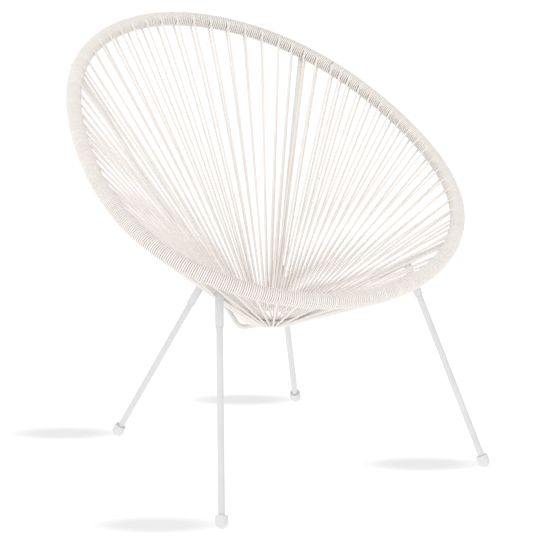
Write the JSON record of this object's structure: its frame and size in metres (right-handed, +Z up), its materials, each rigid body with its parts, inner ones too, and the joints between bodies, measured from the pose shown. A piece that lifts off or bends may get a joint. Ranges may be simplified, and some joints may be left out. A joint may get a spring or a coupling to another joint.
{
  "type": "acapulco chair",
  "caption": "Egg-shaped lounge chair with a cord seat strung from a cord-wound tube hoop to a small base ring, on slanted rods with splayed round legs in sockets and ball-shaped feet.",
  "frame": {"origin": "middle of the chair's footprint, on the floor under its four feet", "axes": "+Z up, +Y towards the high back, so the chair faces -Y; +X to the right of someone looking at its front"},
  "size_m": [0.7969, 0.7661, 0.8634],
  "materials": {
    "cord": "smooth satin vinyl cord, warm off-white",
    "frame": "satin powder coat, warm grey-beige",
    "legs": "satin powder coat, light grey",
    "feet": "moulded light grey plastic"
  },
  "bodies": {
    "root": {"hoop_tube": "frame", "base_ring": "frame", "rim_winding": "cord", "front_left_strut": "frame", "front_right_strut": "frame", "back_strut": "frame", "front_left_leg_socket": "legs", "front_right_leg_socket": "legs", "back_left_leg_socket": "legs", "back_right_leg_socket": "legs", "front_left_leg": "legs", "front_right_leg": "legs", "back_left_leg": "legs", "back_right_leg": "legs", "front_left_foot_cap": "feet", "front_right_foot_cap": "feet", "back_left_foot_cap": "feet", "back_right_foot_cap": "feet", "seat_cord_01": "cord", "seat_cord_02": "cord", "seat_cord_03": "cord", "seat_cord_04": "cord", "seat_cord_05": "cord", "seat_cord_06": "cord", "seat_cord_07": "cord", "seat_cord_08": "cord", "seat_cord_09": "cord", "seat_cord_10": "cord", "seat_cord_11": "cord", "seat_cord_12": "cord"}
  },
  "joints": []
}
